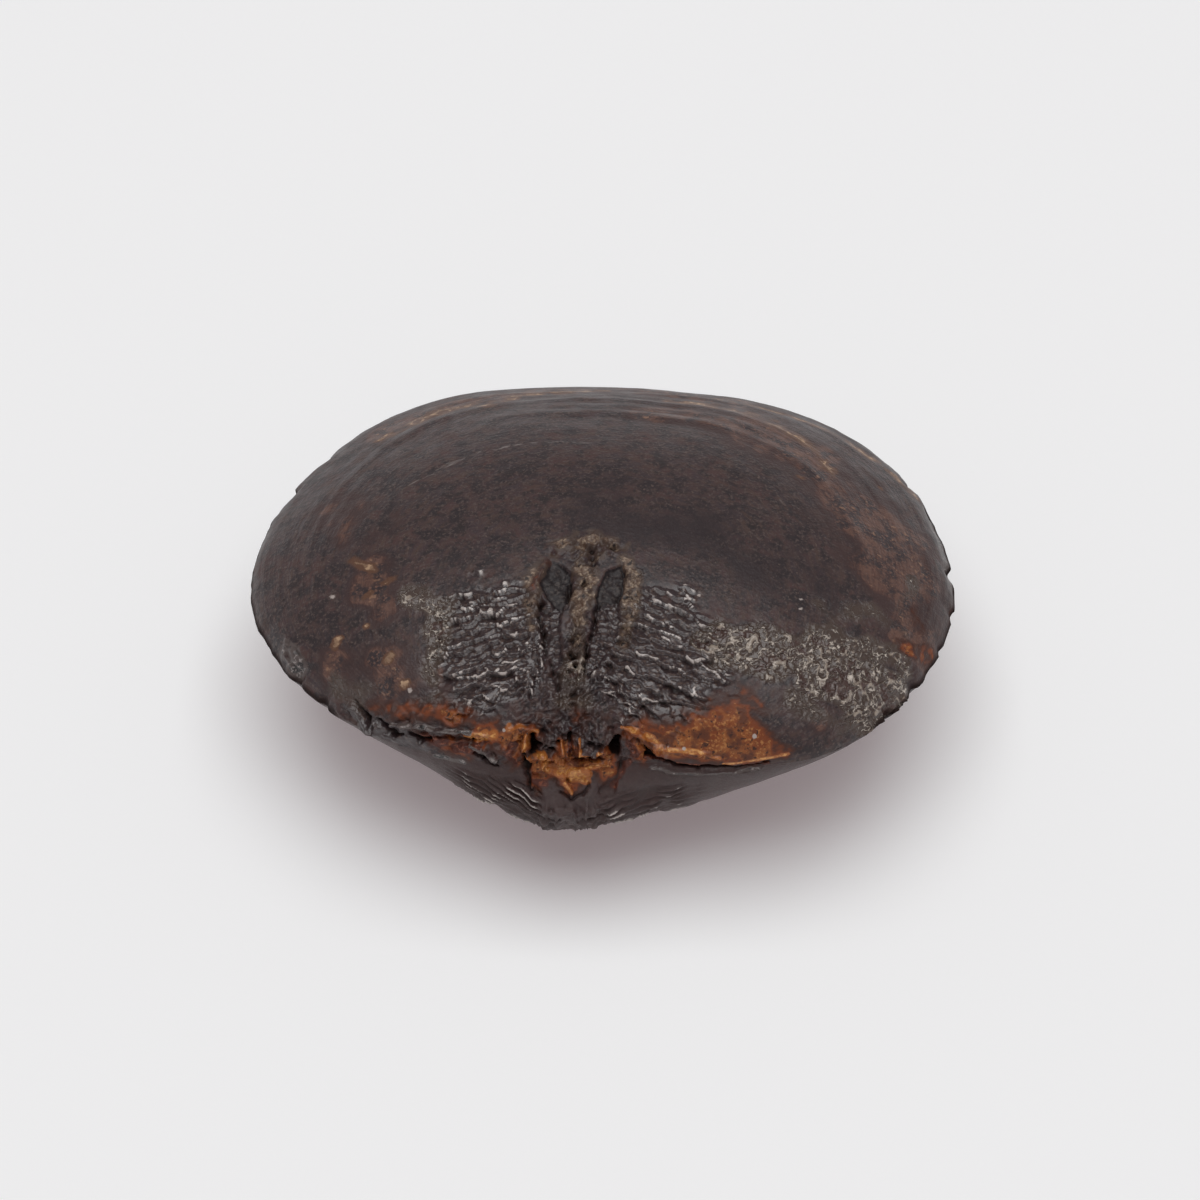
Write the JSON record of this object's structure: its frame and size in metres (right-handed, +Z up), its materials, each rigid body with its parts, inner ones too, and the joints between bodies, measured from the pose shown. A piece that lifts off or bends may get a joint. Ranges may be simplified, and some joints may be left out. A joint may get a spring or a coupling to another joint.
{
  "type": "brachiopod fossil",
  "caption": "Internal mould of a brachiopod shell: two unequal domes meeting at a blunt oval margin, with muscle scars, hinge sockets and a beak at the back.",
  "frame": {"origin": "middle of the bounding box in x and y, at the surface it rests on", "axes": "+X along the hinge line to the right seen from behind the hinge, +Y from the hinge to the front margin, +Z up (dorsal side)"},
  "size_m": [0.0374, 0.0322, 0.0148],
  "materials": {
    "ironstone": "dark brown-black iron-rich stone, satin, with orange limonite stains at the hinge"
  },
  "bodies": {
    "root": {"internal_mould": "ironstone"}
  },
  "joints": []
}
